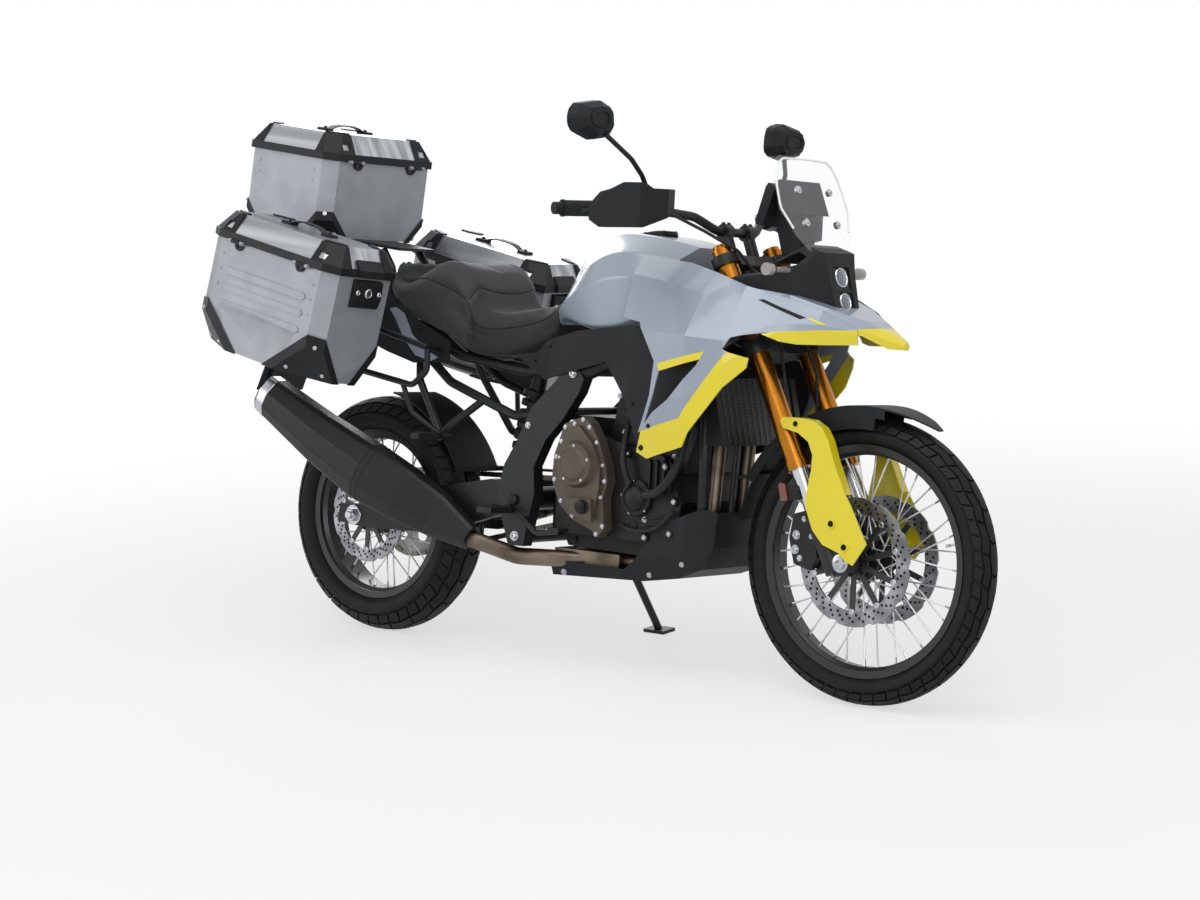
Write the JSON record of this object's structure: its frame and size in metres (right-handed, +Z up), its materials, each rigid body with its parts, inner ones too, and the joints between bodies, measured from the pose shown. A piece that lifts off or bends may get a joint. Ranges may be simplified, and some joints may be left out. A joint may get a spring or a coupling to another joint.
{
  "type": "adventure motorcycle",
  "caption": "Tall two-wheeled adventure motorcycle with spoked wheels, high fender beak and aluminium side and top cases, leaning on its side stand.",
  "frame": {"origin": "on the ground under the middle of the whole machine's box", "axes": "+X forward, +Y to the rider's left, +Z up"},
  "size_m": [2.3661, 1.0592, 1.456],
  "materials": {
    "tyre": "matte rubber",
    "wheel_black": "black anodised rims, silver spokes",
    "disc_steel": "ground steel",
    "chain_steel": "oiled steel",
    "black_metal": "satin black",
    "frame_black": "satin black",
    "gold_anodised": "gold anodised",
    "bright_steel": "hard chrome",
    "black_plastic": "grained",
    "yellow_paint": "gloss",
    "grey_paint": "gloss",
    "engine_black": "satin black castings",
    "engine_bronze": "bronze metallic",
    "exhaust_steel": "heat tinted",
    "silencer_black": "heat-proof satin black",
    "lamp_lens": "clear",
    "clear_screen": "clear, lightly tinted",
    "amber_lens": "amber lens",
    "seat_cover": "grained seat cover",
    "hose_rubber": "braided hose in a black sleeve",
    "case_plastic": "grained",
    "case_aluminium": "brushed"
  },
  "bodies": {
    "chassis": {"swingarm": "black_metal", "rear_shock": "black_metal", "engine": "engine_black", "engine_covers": "engine_bronze", "radiator": "black_metal", "exhaust_pipe": "exhaust_steel", "silencer": "silencer_black", "skid_plate": "black_plastic", "chain": "chain_steel", "chain_guard": "black_plastic", "rear_caliper": "black_metal", "footpegs": "black_metal", "pedals": "black_metal", "rear_frame": "frame_black", "case_racks": "frame_black", "rear_carrier": "black_metal", "fuel_tank": "grey_paint", "shroud_panels": "grey_paint", "shroud_edges": "yellow_paint", "tank_side_covers": "black_plastic", "beak": "grey_paint", "beak_tip": "yellow_paint", "headlight_cowl": "black_plastic", "headlights": "lamp_lens", "windscreen": "clear_screen", "instrument_panel": "black_plastic", "indicators": "amber_lens", "seat": "seat_cover", "tail_covers": "black_plastic", "rear_fender": "black_plastic", "case_corners": "case_plastic", "main_frame": "frame_black", "right_case": "case_aluminium", "left_case": "case_aluminium", "top_case": "case_aluminium"},
    "front_wheel": {"front_tyre": "tyre", "front_spoked_wheel": "wheel_black", "front_discs": "disc_steel"},
    "rear_wheel": {"rear_tyre": "tyre", "rear_spoked_wheel": "wheel_black", "rear_disc": "disc_steel", "rear_sprocket": "disc_steel"},
    "steering": {"fork_clamps": "black_metal", "fork_tubes": "gold_anodised", "fork_legs": "bright_steel", "handlebar": "black_metal", "hand_controls": "black_plastic", "hand_guards": "black_plastic", "mirrors": "black_plastic", "front_fender": "black_plastic", "fork_guards": "yellow_paint", "front_calipers": "black_metal", "brake_hoses": "hose_rubber"},
    "side_stand": {"side_stand": "black_metal"},
    "right_lid": {"right_case_lid": "case_plastic", "right_case_lid_panel": "case_aluminium"},
    "left_lid": {"left_case_lid": "case_plastic", "left_case_lid_panel": "case_aluminium"},
    "top_lid": {"top_case_lid": "case_plastic", "top_case_lid_panel": "case_aluminium"}
  },
  "joints": [
    {"name": "steering", "type": "hinge", "parent": "chassis", "child": "steering", "pos_m": [0.54155, -0.02316, 0.7941], "axis": [-0.454, 0.124, 0.8823], "range_deg": [-40, 40]},
    {"name": "front_wheel", "type": "hinge", "parent": "steering", "child": "front_wheel", "pos_m": [0.83614, -0.0864, 0.34408], "axis": [0, 0.9903, -0.1392], "continuous": true},
    {"name": "rear_wheel", "type": "hinge", "parent": "chassis", "child": "rear_wheel", "pos_m": [-0.73386, -0.08998, 0.31866], "axis": [0, 0.9903, -0.1392], "continuous": true},
    {"name": "side_stand", "type": "hinge", "parent": "chassis", "child": "side_stand", "pos_m": [-0.09386, 0.11297, 0.26813], "axis": [0.0402, 0.925, 0.3779], "range_deg": [0, 92]},
    {"name": "right_case_lid", "type": "hinge", "parent": "chassis", "child": "right_lid", "pos_m": [-0.74425, -0.48201, 1.07401], "axis": [0.9797, -0.0614, -0.191], "range_deg": [0, 100]},
    {"name": "left_case_lid", "type": "hinge", "parent": "chassis", "child": "left_lid", "pos_m": [-0.68725, 0.48323, 0.92422], "axis": [-0.9797, -0.0064, 0.2005], "range_deg": [0, 100]},
    {"name": "top_case_lid", "type": "hinge", "parent": "chassis", "child": "top_lid", "pos_m": [-0.79998, 0.04215, 1.25882], "axis": [0, 0.9903, -0.1392], "range_deg": [0, 88]}
  ]
}
